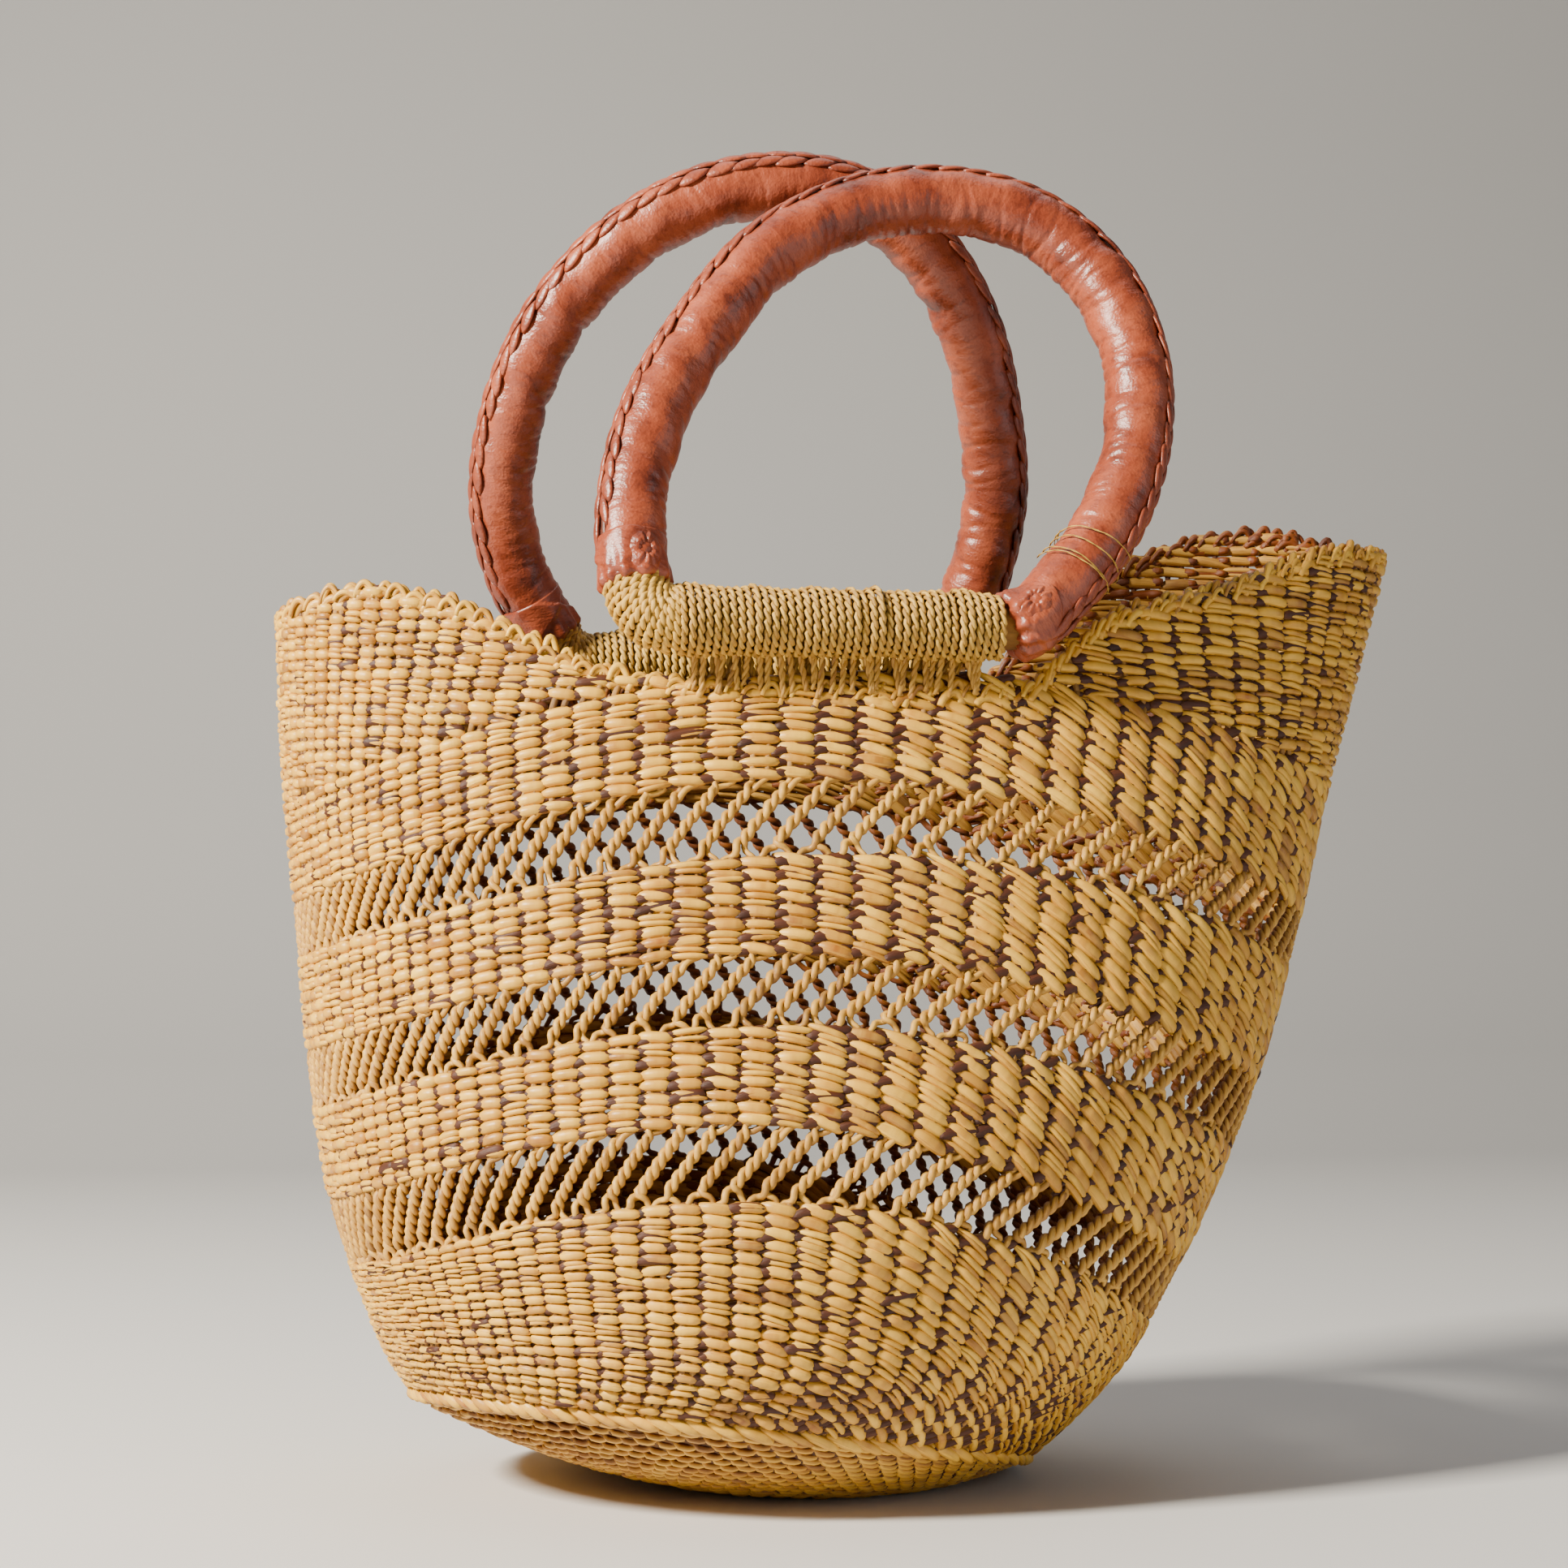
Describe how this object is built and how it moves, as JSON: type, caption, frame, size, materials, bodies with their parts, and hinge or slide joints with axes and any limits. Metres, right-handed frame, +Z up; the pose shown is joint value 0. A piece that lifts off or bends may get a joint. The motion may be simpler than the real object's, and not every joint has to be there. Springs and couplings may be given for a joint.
{
  "type": "woven market basket",
  "caption": "Tall oval straw market basket with open twisted bands, high rounded ends and leather-covered D handles that swing on straw-wrapped bars.",
  "frame": {"origin": "in the flat patch of the base that the basket stands on", "axes": "+X along the basket's length towards its higher end, -Y its front, +Z up"},
  "size_m": [0.4298, 0.2362, 0.5018],
  "materials": {
    "twined_straw": "natural straw, satin",
    "straw_rope": "natural straw, satin",
    "straw_cord": "natural straw, satin",
    "handle_core": "bundled straw",
    "leather": "vegetable-tanned, satin",
    "leather_lace": "vegetable-tanned, satin",
    "thread": "waxed"
  },
  "bodies": {
    "basket": {"base_weave": "twined_straw", "base_ridge": "twined_straw", "lower_band": "twined_straw", "middle_band_lower": "twined_straw", "middle_band_upper": "twined_straw", "upper_band": "twined_straw", "left_gusset": "twined_straw", "right_gusset": "twined_straw", "rim_border": "twined_straw", "openwork_lower": "straw_rope", "openwork_middle": "straw_rope", "openwork_upper": "straw_rope", "front_bar_wrap": "straw_cord", "front_binding": "straw_cord", "rear_bar_wrap": "straw_cord", "rear_binding": "straw_cord"},
    "front_handle": {"front_left_corner_wrap": "straw_cord", "front_right_corner_wrap": "leather", "front_handle_core": "handle_core", "front_handle_leather": "leather", "front_left_end_cap": "leather", "front_right_end_cap": "leather", "front_seam_lace": "leather_lace", "front_right_lashing": "thread"},
    "rear_handle": {"rear_left_corner_wrap": "straw_cord", "rear_right_corner_wrap": "straw_cord", "rear_handle_core": "handle_core", "rear_handle_leather": "leather", "rear_left_end_cap": "leather", "rear_right_end_cap": "leather", "rear_seam_lace": "leather_lace"}
  },
  "joints": [
    {"name": "front_handle_swing", "type": "hinge", "parent": "basket", "child": "front_handle", "pos_m": [0, -0.072, 0.308], "axis": [1, 0, 0], "range_deg": [0, 150]},
    {"name": "rear_handle_swing", "type": "hinge", "parent": "basket", "child": "rear_handle", "pos_m": [0, 0.072, 0.308], "axis": [-1, 0, 0], "range_deg": [0, 150]}
  ]
}
